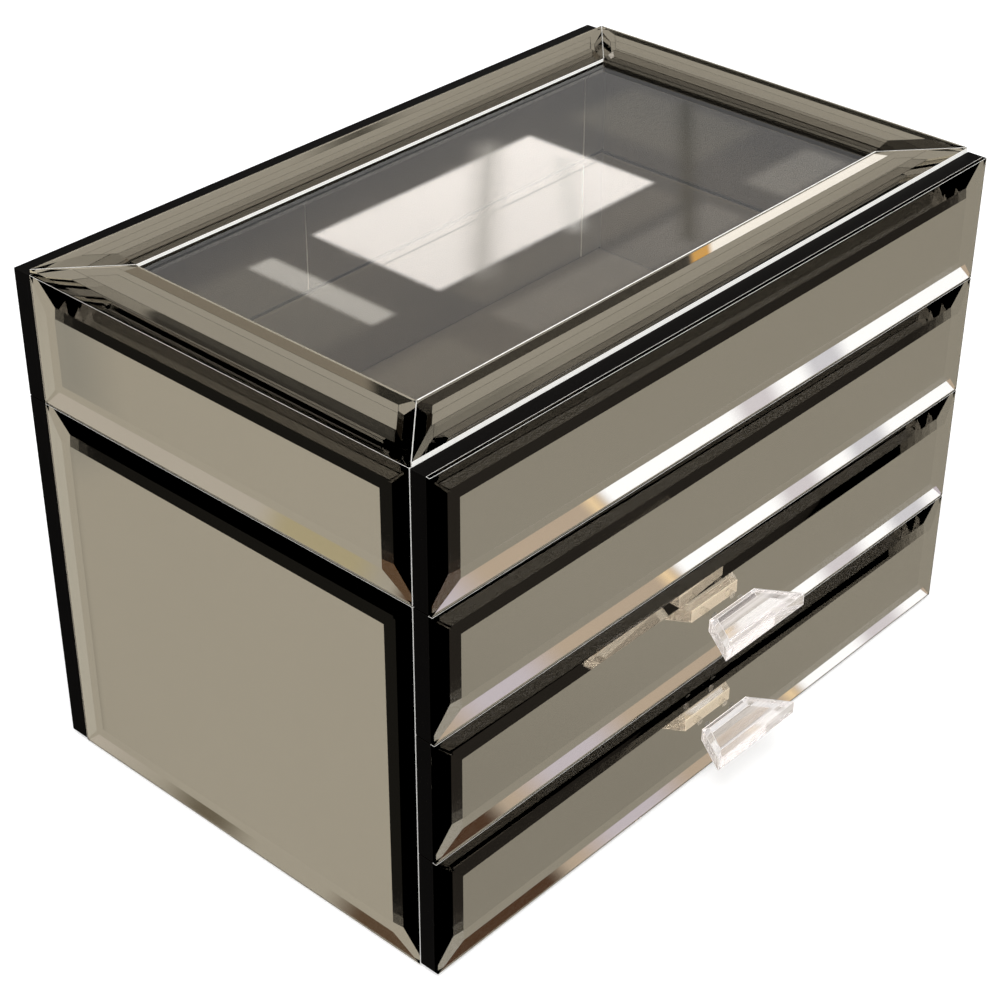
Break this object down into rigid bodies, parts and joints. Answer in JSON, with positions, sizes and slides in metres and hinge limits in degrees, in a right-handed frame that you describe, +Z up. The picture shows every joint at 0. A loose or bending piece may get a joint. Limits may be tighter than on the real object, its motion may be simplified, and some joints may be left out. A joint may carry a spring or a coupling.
{
  "type": "vanity box",
  "caption": "Mirror-clad jewellery and vanity box with two sliding drawers under a lined compartment and a hinged lid with a glass window.",
  "frame": {"origin": "on the table, under the middle of the case's width and depth", "axes": "+Z up, +X along the front to the right, -Y out of the front"},
  "size_m": [0.3048, 0.2242, 0.2061],
  "materials": {
    "tinted_mirror": "polished bevelled mirror, warm grey tint",
    "top_mirror": "polished bevelled mirror, warm grey tint",
    "black_lacquer": "satin black lacquer",
    "black_board": "matt black paint",
    "taupe_velvet": "velvet",
    "stained_wood": "dark stain",
    "black_felt": "pressed felt",
    "clear_glass": "clear float glass",
    "cut_crystal": "polished cut crystal",
    "nickel_steel": "nickel plated"
  },
  "bodies": {
    "case": {"base_board": "black_board", "left_side_board": "black_lacquer", "right_side_board": "black_lacquer", "back_rail": "black_board", "back_panel": "black_lacquer", "compartment_floor": "black_board", "drawer_divider": "black_board", "front_rail": "black_board", "fixed_front_board": "black_lacquer", "fixed_front_mirror": "tinted_mirror", "left_case_mirror": "tinted_mirror", "right_case_mirror": "tinted_mirror", "compartment_wall_lining": "taupe_velvet", "compartment_floor_lining": "taupe_velvet", "long_partition": "taupe_velvet", "short_partitions": "taupe_velvet", "drawer_runners": "stained_wood", "felt_base": "black_felt", "hinge_case_leaves": "nickel_steel", "hinge_pins": "nickel_steel", "hinge_case_screws": "nickel_steel"},
    "lid": {"lid_front_rail": "black_board", "lid_left_board": "black_lacquer", "lid_right_board": "black_lacquer", "lid_back_rail": "black_board", "lid_front_board": "black_lacquer", "lid_front_mirror": "tinted_mirror", "lid_back_panel": "black_lacquer", "lid_top_board": "black_lacquer", "lid_left_mirror": "tinted_mirror", "lid_right_mirror": "tinted_mirror", "front_top_mirror": "top_mirror", "back_top_mirror": "top_mirror", "left_top_mirror": "top_mirror", "right_top_mirror": "top_mirror", "window_pane": "clear_glass", "lid_lining": "taupe_velvet", "hinge_lid_leaves": "nickel_steel", "hinge_lid_screws": "nickel_steel"},
    "upper_drawer": {"upper_drawer_front": "black_lacquer", "upper_drawer_mirror": "tinted_mirror", "upper_drawer_sides": "stained_wood", "upper_drawer_back": "stained_wood", "upper_drawer_bottom": "stained_wood", "upper_drawer_lining": "taupe_velvet", "upper_handle": "cut_crystal", "upper_handle_collars": "cut_crystal"},
    "lower_drawer": {"lower_drawer_front": "black_lacquer", "lower_drawer_mirror": "tinted_mirror", "lower_drawer_sides": "stained_wood", "lower_drawer_back": "stained_wood", "lower_drawer_bottom": "stained_wood", "lower_drawer_lining": "taupe_velvet", "lower_handle": "cut_crystal", "lower_handle_collars": "cut_crystal"}
  },
  "joints": [
    {"name": "lid_hinge", "type": "hinge", "parent": "case", "child": "lid", "pos_m": [0, 0.1002, 0.1522], "axis": [-1, 0, 0], "range_deg": [0, 95]},
    {"name": "upper_drawer_slide", "type": "slide", "parent": "case", "child": "upper_drawer", "axis": [0, -1, 0], "range_m": [0, 0.125]},
    {"name": "lower_drawer_slide", "type": "slide", "parent": "case", "child": "lower_drawer", "axis": [0, -1, 0], "range_m": [0, 0.125]}
  ]
}
